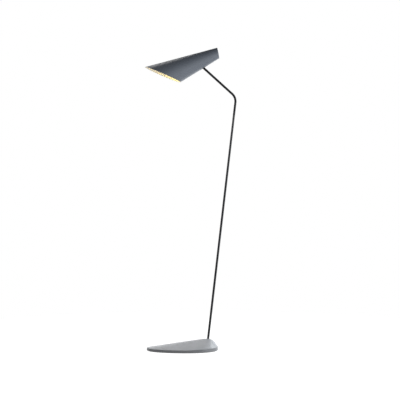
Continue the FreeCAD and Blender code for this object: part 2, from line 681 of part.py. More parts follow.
def swivel_spigot():
    """Hollow spigot that turns in the bush, with a fork for the tilt pivot on its collar."""
    shank = "bush_bore / 2 - spigot_clearance"
    end = f"{COLLAR_LOW} - spigot_length"
    groove_low = "-clip_back - clip_thick / 2 - clip_play"
    groove_top = "-clip_back + clip_thick / 2 + clip_play"
    body = turned_part("swivel_spigot", ARM, [
        ("spigot_bore", end), (f"{shank} - spigot_edge", end), (shank, f"{end} + spigot_edge"),
        (shank, groove_low), ("clip_groove", groove_low), ("clip_groove", groove_top),
        (shank, groove_top),
        (shank, COLLAR_LOW), ("tube_outer / 2", COLLAR_LOW), ("tube_outer / 2", COLLAR_TOP),
        ("spigot_bore", COLLAR_TOP)])
    half = "fork_width / 2"
    ear = outline(body, "XZ_Plane", [
        (f"-{half}", f"{COLLAR_TOP} - 0.5"),
        (half, f"{COLLAR_TOP} - 0.5"), (half, "0"),
        (f"-{half}", "0", "0", half, "0", "0")])
    pad(body, ear, "fork_outer", midplane=True)
    gap = outline(body, "XZ_Plane", [
        ("-fork_width", COLLAR_TOP), ("fork_width", COLLAR_TOP), ("fork_width", "fork_width"),
        ("-fork_width", "fork_width")])
    pocket(body, gap, "fork_gap", midplane=True)
    pocket(body, circles(body, "XZ_Plane", [("0", "0")], "pivot_radius + pivot_clearance"),
           "fork_outer + 2", midplane=True)
    bore = circles(body, "XY_Plane", [("0", "0")], "spigot_bore", f"{COLLAR_LOW} - 1")
    pocket(body, bore, "collar_thick + 1", backwards=True)
    pocket(body, circles(body, "XY_Plane", [("-stop_pin_out", "0")], "stop_pin_radius", COLLAR_LOW),
           "stop_pin_seat", backwards=True)
    return body


def swivel_retention():
    """Thrust washer, spring clip and stop pin."""
    clip_low = "-clip_back - clip_thick / 2"
    washer_top = "-tube_end - bush_length - hole_play"
    ring("swivel_thrust_washer", ARM, "bush_bore / 2 + clip_play", "tube_inner / 2 - hole_play",
         f"{washer_top} - thrust_washer_thick", washer_top)
    clip = ring("swivel_clip", ARM, "clip_groove + clip_play / 2", "clip_radius", clip_low,
                f"{clip_low} + clip_thick")
    mouth = outline(clip, "XY_Plane", [("0", "0"), ("clip_radius * 2", "-clip_radius"),
                                       ("clip_radius * 2", "clip_radius")], clip_low)
    pocket(clip, mouth, "clip_thick", backwards=True)
    pin = new_body("swivel_stop_pin", ARM)
    pad(pin, circles(pin, "XY_Plane", [("-stop_pin_out", "0")], "stop_pin_radius",
                     f"{COLLAR_LOW} - stop_pin_reach"), "stop_pin_reach + stop_pin_seat")


# ---------------------------------------------------------------- shade

def cone_at(height, inset="0"):
    """Radius of the cone at a height along its axis, measured a distance in from the outside."""
    return f"(cone_radius - ({inset}) / cos(cone_half_angle) + ({height}) * tan(cone_half_angle))"


def cut_front(body, shift="0"):
    """Take away everything in front of the oblique opening."""
    reach = f"(front_reach + ({shift}))"
    corners = [("-80", f"{reach} - 80 * tan(front_cut)"), ("90", f"{reach} + 90 * tan(front_cut)"),
               ("90", "300"), ("-80", "300")]
    pocket(body, outline(body, "XZ_Plane", corners), "300", midplane=True)


def cut_rear(body, shift="0", keep_behind=False):
    """Take away everything behind, or in front of, a plane parallel to the rear opening."""
    reach = f"(-rear_reach + ({shift}))"
    far = "0" if keep_behind else "-160"
    corners = [("-60", f"{reach} + 60 * tan(rear_cut)"), ("60", f"{reach} - 60 * tan(rear_cut)"),
               ("60", far), ("-60", far)]
    pocket(body, outline(body, "XZ_Plane", corners), "300", midplane=True)


def shade():
    """Spun cone of thin sheet, open at the front, with a slot below for the arm."""
    low = "-rear_reach - blank_back"
    high = "front_reach + blank_front"
    body = turned_part("shade", LAMP, [
        (cone_at(low, "shade_sheet"), low), (cone_at(low), low),
        (cone_at(high), high), (cone_at(high, "shade_sheet"), high)])
    cut_front(body)
    cut_rear(body)
    near = "-slot_centre + (slot_length - slot_width) / 2"
    far = "-slot_centre - (slot_length - slot_width) / 2"
    side = "slot_width / 2"
    slot = outline(body, "YZ_Plane", [
        (side, near), (f"-{side}", near, "0", f"{near} + {side}", "0", near),
        (f"-{side}", far), (side, far, "0", f"{far} - {side}", "0", far)])
    pocket(body, slot, "cone_radius * 2")


def rear_cap():
    """Disc pressed into the small end of the cone, with a ring of vent holes."""
    low = "-rear_reach - blank_back"
    high = "-rear_reach + blank_reach"
    body = turned_part("shade_rear_cap", LAMP, [
        ("0", low), (cone_at(low, "shade_sheet"), low), (cone_at(high, "shade_sheet"), high),
        ("0", high)])
    cut_rear(body, "cap_sink")
    cut_rear(body, "cap_sink + cap_thick / cos(rear_cut)", keep_behind=True)
    hole = circles(body, "XY_Plane", [("cap_vent_ring", "0")], "cap_vent_radius", "-rear_reach")
    vent = pocket(body, hole, "40", midplane=True)
    pattern = body.newObject("PartDesign::PolarPattern", "cap_vent_ring_pattern")
    pattern.Originals = [vent]
    axis = next(item for item in body.Origin.OriginFeatures if item.Role == "Z_Axis")
    pattern.Axis = (axis, [""])
    pattern.Angle = 360
    pattern.setExpression("Occurrences", full("cap_vents"))
    body.Tip = pattern
    doc.recompute()


PIVOT_UP = "(-pivot_below_axis * cos(90 - shade_droop - arm_rise))"
PIVOT_AHEAD = "(-pivot_below_axis * sin(90 - shade_droop - arm_rise))"


STUDS = [("0", "stud_front"), ("0", "-stud_back")]


def lamp_bracket():
    """Folded steel: a web across the cone, two ears for the tilt pivot, a flange under the top."""
    body = new_body("lamp_bracket", LAMP)
    web_back = "(web_front - bracket_sheet)"
    ear_outer = "(ear_inner + bracket_sheet)"

    def flange_top(height):
        return f"({cone_at(height, 'shade_sheet')} - flange_drop)"

    shoulder = f"{PIVOT_UP} + ear_radius + web_shoulder"
    foot = f"{PIVOT_UP} - ear_radius"
    top = f"{flange_top(web_back)} - bracket_sheet / 2"
    web = outline(body, "XY_Plane", [
        (foot, f"-{ear_outer}"), (shoulder, f"-{ear_outer}"),
        (f"{shoulder} + web_flare", "-web_half_width"),
        (f"{top} - web_taper", "-web_half_width"), (top, "-flange_half_width"),
        (top, "flange_half_width"), (f"{top} - web_taper", "web_half_width"),
        (f"{shoulder} + web_flare", "web_half_width"), (shoulder, ear_outer), (foot, ear_outer)], web_back)
    pad(body, web, "bracket_sheet")
    ears = outline(body, "XZ_Plane", [
        (f"{PIVOT_UP} + ear_radius", "web_front"), (foot, "web_front"), (foot, PIVOT_AHEAD),
        (f"{PIVOT_UP} + ear_radius", PIVOT_AHEAD, PIVOT_UP, f"{PIVOT_AHEAD} - ear_radius",
         PIVOT_UP, PIVOT_AHEAD)])
    pad(body, ears, f"2 * {ear_outer}", midplane=True)
    between = outline(body, "XZ_Plane", [
        (f"{foot} - 2", web_back), (f"{PIVOT_UP} + ear_radius + 0.5", web_back),
        (f"{PIVOT_UP} + ear_radius + 0.5", "-30"), (f"{foot} - 2", "-30")])
    pocket(body, between, "2 * ear_inner", midplane=True)
    flange = outline(body, "XZ_Plane", [
        (flange_top("web_front"), "web_front"), (flange_top("-flange_back"), "-flange_back"),
        (f"{flange_top('-flange_back')} - bracket_sheet", "-flange_back"),
        (f"{flange_top('web_front')} - bracket_sheet", "web_front")])
    pad(body, flange, "2 * flange_half_width", midplane=True)
    pocket(body, circles(body, "XZ_Plane", [(PIVOT_UP, PIVOT_AHEAD)], "pivot_radius + pivot_clearance / 2"),
           "30", midplane=True)
    pocket(body, circles(body, "XY_Plane", [("0", "0")], "nipple_radius + hole_play", "web_front"),
           "bracket_sheet")
    places = [(x, f"{z} + stud_hole_shift") for x, z in STUDS]
    holes = circles(body, "YZ_Plane", places, "stud_radius + stud_hole_play", "cone_radius / 2")
    pocket(body, holes, "cone_radius", backwards=True)
    return body


def shade_studs():
    """Studs welded to the inside of the sheet, with a washer and a nut on each."""
    studs = new_body("shade_weld_studs", WALL)
    pad(studs, circles(studs, "YZ_Plane", STUDS, "stud_radius", "-stud_gap"), "stud_length",
        backwards=True)
    pad(studs, circles(studs, "YZ_Plane", STUDS, "stud_foot", "-stud_gap"),
        "flange_drop * cos(cone_half_angle) - stud_gap", backwards=True)
    under = "(-(flange_drop + bracket_sheet) * cos(cone_half_angle))"
    washers = new_body("stud_washers", WALL)
    pad(washers, circles(washers, "YZ_Plane", STUDS, "stud_washer_radius", under),
        "stud_washer_thick", backwards=True)
    pocket(washers, circles(washers, "YZ_Plane", STUDS, "stud_radius + hole_play", under),
           "stud_washer_thick")
    hex_nut("stud_nuts", WALL, STUDS, "stud_nut_flats", "stud_radius",
            f"{under} - stud_washer_thick", "stud_nut_thick", role="YZ_Plane", backwards=True)


def tilt_pivot():
    """Screw through both ears and the fork, held tight by friction washers and a lock nut."""
    ear_outer = "(ear_inner + bracket_sheet)"
    nut_low = f"({ear_outer} + spring_washer_thick)"
    tail = f"({nut_low} + pivot_nut_thick + pivot_tail)"
    screw = turned_part("tilt_pivot_screw", AXLE, [
        ("0", f"-{ear_outer} - pivot_head_thick"),
        ("pivot_head_radius - pivot_head_edge", f"-{ear_outer} - pivot_head_thick"),
        ("pivot_head_radius", f"-{ear_outer} - pivot_head_thick + pivot_head_edge"),
        ("pivot_head_radius", f"-{ear_outer}"), ("pivot_radius", f"-{ear_outer}"),
        ("pivot_radius", f"{tail} - pivot_tail_edge"), ("pivot_radius - pivot_tail_edge", tail),
        ("0", tail)])
    key = hexagons(screw, "XY_Plane", [("0", "0")], "pivot_key_flats",
                   f"-{ear_outer} - pivot_head_thick")
    pocket(screw, key, "pivot_key_deep", backwards=True)
    washers = new_body("tilt_friction_washers", AXLE)
    for low in ("fork_outer / 2 + pivot_clearance",
                "-fork_outer / 2 - pivot_clearance - friction_washer_thick"):
        sketch = circles(washers, "XY_Plane", [("0", "0")], "friction_washer_radius", low)
        hole = sketch.addGeometry(Part.Circle(Vector(), UP, value("pivot_radius + hole_play")))
        sketch.addConstraint(Sketcher.Constraint("Coincident", 0, 3, hole, 3))
        constrain(sketch, "Radius", (hole,), "pivot_radius + hole_play")
        pad(washers, sketch, "friction_washer_thick")
    ring("tilt_spring_washer", AXLE, "pivot_radius + hole_play", "spring_washer_radius", ear_outer,
         nut_low)
    hex_nut("tilt_lock_nut", AXLE, [("0", "0")], "pivot_nut_flats", "pivot_radius", nut_low,
            "pivot_nut_thick")


# ---------------------------------------------------------------- lampholder and bulb

def lampholder():
    web_back = "web_front - bracket_sheet"
    ring("lampholder_nipple", LAMP, "nipple_bore", "nipple_radius", "nipple_back", "nipple_front")
    hex_nut("lampholder_nut", LAMP, [("0", "0")], "nipple_nut_flats", "nipple_radius",
            f"{web_back} - nipple_nut_thick", "nipple_nut_thick")
    floor_back = "holder_floor - holder_floor_thick"
    turned_part("lampholder_body", LAMP, [
        ("nipple_radius", "web_front"), ("holder_cap_radius - holder_cap_edge", "web_front"),
        ("holder_cap_radius", "web_front + holder_cap_edge"),
        ("holder_cap_radius", "web_front + holder_cap_long"),
        ("holder_radius", "web_front + holder_cap_long + holder_step"),
        ("holder_radius", "holder_front - holder_edge"),
        ("holder_radius - holder_edge", "holder_front"), ("holder_cavity", "holder_front"),
        ("holder_cavity", "holder_floor"), ("holder_hole", "holder_floor"),
        ("holder_hole", floor_back), ("holder_chamber", floor_back),
        ("holder_chamber", "nipple_front"), ("nipple_radius", "nipple_front")])
    grip = ring("lampholder_ring", LAMP, "holder_radius + clip_play", "ring_radius", "ring_back",
                "ring_back + ring_thick")
    notch = circles(grip, "XY_Plane", [("ring_radius + 1", "0")], "ring_notch_radius",
                    "ring_back")
    first = pocket(grip, notch, "ring_thick", backwards=True)
    pattern = grip.newObject("PartDesign::PolarPattern", "ring_notch_pattern")
    pattern.Originals = [first]
    axis = next(item for item in grip.Origin.OriginFeatures if item.Role == "Z_Axis")
    pattern.Axis = (axis, [""])
    pattern.Angle = 360
    pattern.setExpression("Occurrences", full("ring_notches"))
    grip.Tip = pattern
    doc.recompute()


def holder_contacts():
    """Two brass springs: one under the bulb's tip, one along the side of its cap."""
    body = new_body("lampholder_contacts", LAMP)
    tip = outline(body, "XZ_Plane", [
        ("-contact_foot", "holder_floor"), ("-contact_fold", "holder_floor"),
        ("contact_tip_out", "bulb_tip - contact_sheet"), ("contact_tip_out", "bulb_tip"),
        ("contact_tip_in", "bulb_tip"),
        ("-contact_fold - contact_sheet", "holder_floor + contact_sheet"),
        ("-contact_foot", "holder_floor + contact_sheet")])
    pad(body, tip, "2 * contact_half_width", midplane=True)
    outer = "holder_cavity - hole_play"
    side = outline(body, "XZ_Plane", [
        (outer, "holder_floor"), (outer, "holder_front - contact_top"),
        ("bulb_cap_radius", "holder_front - contact_touch"),
        ("bulb_cap_radius", "holder_front - contact_touch - 2 * contact_sheet"),
        (f"{outer} - contact_sheet", "holder_front - contact_return"),
        (f"{outer} - contact_sheet", "holder_floor")])
    pad(body, side, "contact_half_width", midplane=True)


def bulb():
    cap_end = "bulb_cap_front"
    cap_floor = "(bulb_cap_back + cap_floor)"
    cap_inside = "(bulb_cap_radius - cap_wall)"
    tip_top = "(bulb_tip + tip_thick)"
    turned_part("bulb_tip_contact", LAMP, [
        ("0", "bulb_tip"), ("tip_radius - tip_edge", "bulb_tip"),
        ("tip_radius", "bulb_tip + tip_edge"), ("tip_radius", tip_top), ("0", tip_top)])
    turned_part("bulb_seal", LAMP, [
        ("0", tip_top), ("tip_radius + tip_edge", tip_top), ("seal_radius", "bulb_cap_back"),
        ("seal_radius", cap_floor), ("0", cap_floor)])
    turned_part("bulb_cap", LAMP, [
        ("seal_radius", "bulb_cap_back"), ("bulb_cap_radius", "bulb_cap_back + cap_shoulder"),
        ("bulb_cap_radius", cap_end), (cap_inside, cap_end), (cap_inside, cap_floor),
        ("seal_radius", cap_floor)])
    neck = "globe_neck"
    inner_neck = "(globe_neck - globe_wall)"
    inner_radius = "(globe_radius - globe_wall)"
    meet = f"(globe_centre - sqrt(globe_radius ^ 2 - {neck} ^ 2))"
    inner_meet = f"(globe_centre - sqrt({inner_radius} ^ 2 - {inner_neck} ^ 2))"
    turned_part("bulb_globe", LAMP, [
        (cap_inside, cap_end), (neck, f"{cap_end} + neck_rise"), (neck, meet),
        ("0", "globe_centre + globe_radius", "globe_radius", "globe_centre",
         "0", "globe_centre"),
        ("0", f"globe_centre + {inner_radius}"),
        (inner_neck, inner_meet, inner_radius, "globe_centre", "0", "globe_centre"),
        (inner_neck, f"{cap_end} + neck_rise"), (f"{cap_inside} - globe_wall", cap_end)])


# ---------------------------------------------------------------- internal lead

# Radii of the lead's bends, from the foot up to the lampholder.
STEM_LEAD_BENDS = [12, 6, value("bend_radius")]
KNUCKLE_LEAD_BENDS = [2, 2]
HEAD_LEAD_BENDS = [4, 5]


def stem_lead():
    """From the terminal block, up inside the stem and the arm, to just short of the spigot."""
    low = STEM.multVec(UP * value("insert_low - 8"))
    end = ARM.multVec(Vector(0, 0, value(f"{COLLAR_LOW} - spigot_length - 0.6")))
    routes = []
    for side in (1, -1):
        aside = ACROSS * (side * value("core_aside"))
        pole = Vector(value("-block_forward + block_long / 2 - 5"), side * value("pole_aside"),
                      value("pole_height"))
        clear = pole + ALONG * 18
        routes.append([pole, clear, low + aside, CORNER + aside, end + aside])
    two_cores("stem_lead", routes, STEM_LEAD_BENDS)


def knuckle_lead():
    """Through the spigot's bore, then past the tilt pivot on its front side."""
    bypass = value("core_bypass")
    collar_top = value(COLLAR_TOP)
    routes = []
    for side in (1, -1):
        aside = side * value("core_aside")
        places = [(0, value(f"{COLLAR_LOW} - spigot_length - 0.4")), (0, collar_top + 0.4),
                  (-bypass, collar_top + 4), (-bypass, 0.4)]
        routes.append([ARM.multVec(Vector(x, aside, z)) for x, z in places])
    two_cores("knuckle_lead", routes, KNUCKLE_LEAD_BENDS)


def head_lead():
    """From beside the pivot, through the nipple, into the lampholder."""
    bypass = value("core_bypass")
    routes = []
    for side in (1, -1):
        aside = side * value("core_aside")
        start = ARM.multVec(Vector(-bypass, aside, 2.8))
        onward = ARM.multVec(Vector(-bypass, aside, 9))
        turn = LAMP.multVec(Vector(0, aside, 1.5))
        end = LAMP.multVec(Vector(0, aside, value("holder_floor") - 2))
        routes.append([start, onward, turn, end])
    two_cores("head_lead", routes, HEAD_LEAD_BENDS)


# ---------------------------------------------------------------- the whole lamp

base_casting()
bottom_plate()
base_pad()
plate_screws()
gland()
cord_clamp()
terminal_block()
earth_point()
stem_tube()
stem_fixing()
swivel_bush()
swivel_spigot()
swivel_retention()
shade()
rear_cap()
lamp_bracket()
shade_studs()
tilt_pivot()
lampholder()
holder_contacts()
bulb()
stem_lead()
knuckle_lead()
head_lead()
doc.recompute()

for item in doc.Objects:
    if "Invalid" in item.State or "Error" in item.State:
        raise RuntimeError(f"{item.Label} failed: {item.State}")
for part in parts:
    if part.Shape.isNull() or not part.Shape.isValid() or not part.Shape.Solids:
        raise RuntimeError(f"{part.Label} has no valid shape")

os.makedirs("parts", exist_ok=True)
for part in parts:
    part.Shape.exportStep(f"parts/{part.Label}.step")
print("tilt pivot", PIVOT, "shade datum", DATUM)
print(len(parts), "sub-parts")
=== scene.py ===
import json
import math
from collections import namedtuple

import bmesh
import bpy
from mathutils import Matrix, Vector


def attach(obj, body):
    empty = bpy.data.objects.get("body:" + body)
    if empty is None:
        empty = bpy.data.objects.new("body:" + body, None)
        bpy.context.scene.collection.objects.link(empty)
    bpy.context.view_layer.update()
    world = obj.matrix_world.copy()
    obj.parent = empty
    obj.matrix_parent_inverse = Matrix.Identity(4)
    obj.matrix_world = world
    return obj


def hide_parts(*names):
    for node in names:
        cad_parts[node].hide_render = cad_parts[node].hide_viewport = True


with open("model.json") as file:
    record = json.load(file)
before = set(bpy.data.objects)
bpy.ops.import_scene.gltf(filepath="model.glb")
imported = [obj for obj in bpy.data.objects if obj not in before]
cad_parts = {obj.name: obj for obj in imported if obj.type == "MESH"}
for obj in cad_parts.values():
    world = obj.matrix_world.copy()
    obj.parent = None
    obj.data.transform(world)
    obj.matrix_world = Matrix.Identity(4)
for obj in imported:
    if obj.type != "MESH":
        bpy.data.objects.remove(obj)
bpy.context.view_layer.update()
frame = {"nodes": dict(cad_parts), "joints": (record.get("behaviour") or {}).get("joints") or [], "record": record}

# Looks of the floor reading lamp.  Metres, +Z up.  The shade and the long end of the foot point
# towards -X.
NODES = frame["nodes"]
SLOT_OF = {part["node"]: part["material_slot"] for part in frame["record"]["subparts"]}
JOINTS = {joint["name"]: joint for joint in frame["joints"]}
PIVOT = Vector(JOINTS["head_tilt"]["pos_m"])
ARM_DIRECTION = Vector(JOINTS["head_swivel"]["axis"]).normalized()

# Driving sizes, the same as the CAD model's.
DROOP = math.radians(23.3)
PIVOT_BELOW_AXIS = 0.015
CONE_HALF_ANGLE = math.radians(8.26)
CONE_RADIUS = 0.0382
SHADE_SHEET = 0.0012
SHADE_EDGE = 0.0003
FRONT_REACH = 0.1529
FRONT_CUT = math.radians(43.7)
REAR_REACH = 0.1015
REAR_CUT = math.radians(12.2)
SLOT_CENTRE = -0.0189
SLOT_LENGTH = 0.037
SLOT_WIDTH = 0.0126

FOOT_FRONT = 0.264
FOOT_REAR = 0.0493
FOOT_WIDEST = 0.087
FOOT_HALF_WIDTH = 0.098
FOOT_UNDER = 0.002
FOOT_RIM = 0.013
HEEL_RISE = 0.006
FOOT_CROWN = 0.0512
FOOT_EDGE_ROUND = 0.002
EDGE_TURN = math.radians(60)
CROWN_LAND = 0.012
LAND_MARGIN = 0.0005
DOME_POWERS = (0.93, 0.58, 0.95)
PLATE_INSET = 0.008
PLATE_TOP = 0.004
RECESS_FRONT = 0.2
RECESS_REAR = 0.031
RECESS_HALF_WIDTH = 0.076
RECESS_ROOF = 0.016
SEAT_HEIGHT = 0.026
SEAT_RADIUS = 0.013
GLAND_HEIGHT = 0.0098
GLAND_INNER = 0.0245
GLAND_BORE_RADIUS = 0.004
GLAND_SINK_RADIUS = 0.0058
GLAND_SINK_FLOOR = 0.0473

STEM_LEAN = math.radians(6.6)
STEM_CORNER = 1.121
ARM_LENGTH = 0.2166
BEND_RADIUS = 0.045
TUBE_OUTER = 0.005
TUBE_INNER = 0.004
TUBE_FOOT = 0.034
TUBE_END = 0.0116
STEM_BORE = 0.0051

CAP_FRONT = 0.059
CAP_INSIDE = 0.00655
GLOBE_CENTRE = 0.094
GLOBE_RADIUS = 0.0225
GLOBE_NECK = 0.0082
GLOBE_WALL = 0.001
NECK_RISE = 0.002

ALONG = Vector((1, 0, 0))
ACROSS = Vector((0, 1, 0))
UP = Vector((0, 0, 1))
DATUM = PIVOT + ARM_DIRECTION * PIVOT_BELOW_AXIS
FORWARD = Vector((-math.cos(DROOP), 0, -math.sin(DROOP)))
UPWARD = Vector((-math.sin(DROOP), 0, math.cos(DROOP)))
STEM_DIRECTION = Vector((math.sin(STEM_LEAN), 0, math.cos(STEM_LEAN)))
STEM_SIDE = Vector((math.cos(STEM_LEAN), 0, -math.sin(STEM_LEAN)))


def lamp_point(up, across, ahead):
    """A point given from where the arm's axis meets the shade's axis."""
    return DATUM + UPWARD * up + ACROSS * across + FORWARD * ahead


def round_turns(count):
    """Equal turns once round, as angles from zero."""
    return [math.tau * step / count for step in range(count)]


def circle(radius, first, second, segments):
    """Points round the origin, in the plane of two unit directions."""
    return [first * (radius * math.cos(turn)) + second * (radius * math.sin(turn))
            for turn in round_turns(segments)]


def spread(start, end, count):
    """That many numbers at equal steps, with both ends."""
    return [start + (end - start) * step / (count - 1) for step in range(count)]


def add_to_scene(name, data):
    holder = bpy.data.objects.new(name, data)
    bpy.context.scene.collection.objects.link(holder)
    return holder


def set_inputs(node, **values):
    """Constants on a shader node's sockets; an underscore in a name stands for a space."""
    for name, value in values.items():
        node.inputs[name.replace("_", " ")].default_value = value


# ---------------------------------------------------------------- camera, light and stage

CAMERA_PLACE = (-0.0295, -4.889, 0.662)
CAMERA_LENS = 100.0
CAMERA_REACH = 60
WHITE = (1, 1, 1)
COOL = (0.9, 0.96, 1.0)

# Brightness of the room that the lamp sees, with its tint.
ROOM_TINT = (0.96, 0.985, 1.0)
ROOM_AT_HORIZON = 0.55
ROOM_OVERHEAD = 0.09
LEFT_SHARE = 0.35
RIGHT_SHARE = 1.7
BACKDROP = 0.9

FLOOR_RADIUS = 1.7
FLOOR_SEGMENTS = 96
FLOOR_HEIGHT = -0.0005
FLOOR_SEEN = 0.97
FLOOR_GLOW = 0.62


def add_camera():
    camera = bpy.data.cameras.new("camera")
    camera.lens = CAMERA_LENS
    camera.clip_end = CAMERA_REACH
    holder = add_to_scene("camera", camera)
    holder.location = CAMERA_PLACE
    holder.rotation_euler = (math.radians(90), 0, 0)
    bpy.context.scene.camera = holder


def map_range(tree, source, low, high, start, end):
    """A number moved from one range to another, and held at its ends."""
    node = tree.nodes.new("ShaderNodeMapRange")
    node.interpolation_type = "SMOOTHSTEP"
    set_inputs(node, From_Min=low, From_Max=high, To_Min=start, To_Max=end)
    tree.links.new(source, node.inputs["Value"])
    return node.outputs["Result"]


def calculate(tree, operation, first, second):
    """One sum; a number or a socket may stand on either side."""
    node = tree.nodes.new("ShaderNodeMath")
    node.operation = operation
    for place, term in enumerate((first, second)):
        if isinstance(term, (int, float)):
            node.inputs[place].default_value = term
        else:
            tree.links.new(term, node.inputs[place])
    return node.outputs[0]


def room_light(tree):
    """Brightness by direction, over ranges of a unit vector's parts: dark overhead, brighter on
    the right than on the left, and a bright backdrop behind the lamp, from the horizon up."""
    place = tree.nodes.new("ShaderNodeTexCoord")
    split = tree.nodes.new("ShaderNodeSeparateXYZ")
    tree.links.new(place.outputs["Generated"], split.inputs[0])
    east, north, height = split.outputs
    room = map_range(tree, height, 0.0, 0.6, ROOM_AT_HORIZON, ROOM_OVERHEAD)
    sideways = map_range(tree, east, -0.9, 0.9, LEFT_SHARE, RIGHT_SHARE)
    backdrop = calculate(tree, "MULTIPLY", map_range(tree, north, 0.1, 0.8, 0.0, BACKDROP),
                         map_range(tree, height, 0.2, 0.6, 1.0, 0.0))
    above = map_range(tree, height, -0.25, 0.05, 0.0, 1.0)
    backdrop = calculate(tree, "MULTIPLY", backdrop, above)
    return calculate(tree, "ADD", calculate(tree, "MULTIPLY", room, sideways), backdrop)


def add_world():
    """White to the camera; the lamp sees and is lit by the room instead."""
    world = bpy.data.worlds.new("studio")
    bpy.context.scene.world = world
    world.use_nodes = True
    tree = world.node_tree
    tree.nodes.clear()
    light = room_light(tree)
    seen = tree.nodes.new("ShaderNodeBackground")
    set_inputs(seen, Color=(*WHITE, 1), Strength=1.0)
    around = tree.nodes.new("ShaderNodeBackground")
    set_inputs(around, Color=(*ROOM_TINT, 1))
    path = tree.nodes.new("ShaderNodeLightPath")
    mix = tree.nodes.new("ShaderNodeMixShader")
    output = tree.nodes.new("ShaderNodeOutputWorld")
    for source, target in ((light, around.inputs["Strength"]),
                           (path.outputs["Is Camera Ray"], mix.inputs[0]),
                           (around.outputs[0], mix.inputs[1]),
                           (seen.outputs[0], mix.inputs[2]),
                           (mix.outputs[0], output.inputs[0])):
        tree.links.new(source, target)


def hang_light(name, light, place, aim):
    """A light at a place, turned to its aim."""
    holder = add_to_scene(name, light)
    holder.location = place
    direction = Vector(aim) - Vector(place)
    holder.rotation_euler = direction.to_track_quat("-Z", "Y").to_euler()
    return holder


def add_area_light(name, place, aim, size, power, colour=WHITE, spread_angle=180):
    light = bpy.data.lights.new(name, "AREA")
    light.spread = math.radians(spread_angle)
    light.shape = "RECTANGLE"
    light.size, light.size_y = size
    light.energy = power
    light.color = colour
    hang_light(name, light, place, aim).visible_camera = False


def add_spot_light(name, place, aim, angle, power, soft_size):
    light = bpy.data.lights.new(name, "SPOT")
    light.energy = power
    light.spot_size = math.radians(angle)
    light.spot_blend = 1.0
    light.shadow_soft_size = soft_size
    hang_light(name, light, place, aim)


def add_lights():
    add_area_light("light_wall", place=(0, 1.6, 1.3), aim=(0, 0, 1.3), size=(5.0, 2.6), power=33)
    add_area_light("low_skylight", place=(-0.05, 0.35, 1.0), aim=(-0.05, 0.25, 0),
                   size=(1.6, 1.3), power=13.5)
    add_area_light("foot_right", place=(0.75, 0.25, 0.65), aim=(0.02, 0, 0.03),
                   size=(0.7, 0.6), power=2.7, colour=COOL, spread_angle=80)
    add_area_light("right_softbox", place=(2.6, -1.6, 0.7), aim=(0, 0, 0.4),
                   size=(1.0, 1.8), power=26, colour=COOL)
    add_spot_light("tip_highlight", place=(-0.42, 0.45, 2.05), aim=(-0.27, 0, 1.24),
                   angle=34, power=5, soft_size=0.2)


def add_floor():
    """A round white sweep: full white to the camera, and less bright to the lamp."""
    material = new_material("floor_white", (0.1, 0.1, 0.1), 0.9)
    tree = material.node_tree
    set_inputs(shader_of(material), Emission_Color=(*WHITE, 1))
    path = tree.nodes.new("ShaderNodeLightPath")
    glow = map_range(tree, path.outputs["Is Camera Ray"], 0.0, 1.0, FLOOR_GLOW, FLOOR_SEEN)
    tree.links.new(glow, shader_of(material).inputs["Emission Strength"])
    mesh = bpy.data.meshes.new("floor")
    corners = [point + UP * FLOOR_HEIGHT
               for point in circle(FLOOR_RADIUS, ALONG, ACROSS, FLOOR_SEGMENTS)]
    mesh.from_pydata(corners, [], [tuple(range(FLOOR_SEGMENTS))])
    mesh.materials.append(material)
    add_to_scene("floor", mesh)


# ---------------------------------------------------------------- material helpers

# Places on a noise between which a varied colour or roughness goes from its low to its high end.
LOW_STOP = 0.3
HIGH_STOP = 0.7
# Depths of bump layers.
HAIR = 0.0001
GRAIN = 0.0002
CAST = 0.002

Layer = namedtuple("Layer", "source strength depth")


def new_material(name, colour, roughness, metallic=0.0, coat=0.0, coat_roughness=0.1):
    material = bpy.data.materials.new(name)
    material.use_nodes = True
    set_inputs(shader_of(material), Base_Color=(*colour, 1), Roughness=roughness,
               Metallic=metallic, Coat_Weight=coat, Coat_Roughness=coat_roughness)
    return material


def shader_of(material):
    return material.node_tree.nodes["Principled BSDF"]


def place_on(material, stretch=(1, 1, 1)):
    """The piece's own coordinates in metres, stretched along its axes."""
    tree = material.node_tree
    place = tree.nodes.new("ShaderNodeTexCoord")
    mapping = tree.nodes.new("ShaderNodeMapping")
    set_inputs(mapping, Scale=stretch)
    tree.links.new(place.outputs["Object"], mapping.inputs["Vector"])
    return mapping.outputs["Vector"]


def noise(material, scale, detail, stretch=(1, 1, 1)):
    """Smooth noise: scale is its features in a metre, detail its octaves."""
    node = material.node_tree.nodes.new("ShaderNodeTexNoise")
    set_inputs(node, Scale=scale, Detail=detail)
    material.node_tree.links.new(place_on(material, stretch), node.inputs["Vector"])
    return node.outputs["Fac"]


def cells(material, scale):
    """Distance to the middle of the nearest of many small cells; scale is cells in a metre."""
    node = material.node_tree.nodes.new("ShaderNodeTexVoronoi")
    set_inputs(node, Scale=scale)
    material.node_tree.links.new(place_on(material), node.inputs["Vector"])
    return node.outputs["Distance"]


def ramp(material, source, stops):
    """A colour, or a grey, that follows a number through the given (position, colour) stops."""
    node = material.node_tree.nodes.new("ShaderNodeValToRGB")
    elements = node.color_ramp.elements
    while len(elements) < len(stops):
        elements.new(0.5)
    for element, (position, colour) in zip(elements, stops):
        element.position = position
        element.color = (*colour, 1) if isinstance(colour, tuple) else (colour,) * 3 + (1,)
    material.node_tree.links.new(source, node.inputs[0])
    return node.outputs["Color"]


def drive(material, socket, source):
    material.node_tree.links.new(source, shader_of(material).inputs[socket])


def shaded(colour, factor):
    return tuple(min(1.0, channel * factor) for channel in colour)


def clouded(material, source, low, high):
    """A colour, or a grey, that drifts from its low to its high end as a noise rises."""
    return ramp(material, source, [(LOW_STOP, low), (HIGH_STOP, high)])


def vary_colour(material, colour, source, low, high):
    clouding = clouded(material, source, shaded(colour, low), shaded(colour, high))
    drive(material, "Base Color", clouding)


def vary_roughness(material, source, low, high):
    drive(material, "Roughness", clouded(material, source, low, high))


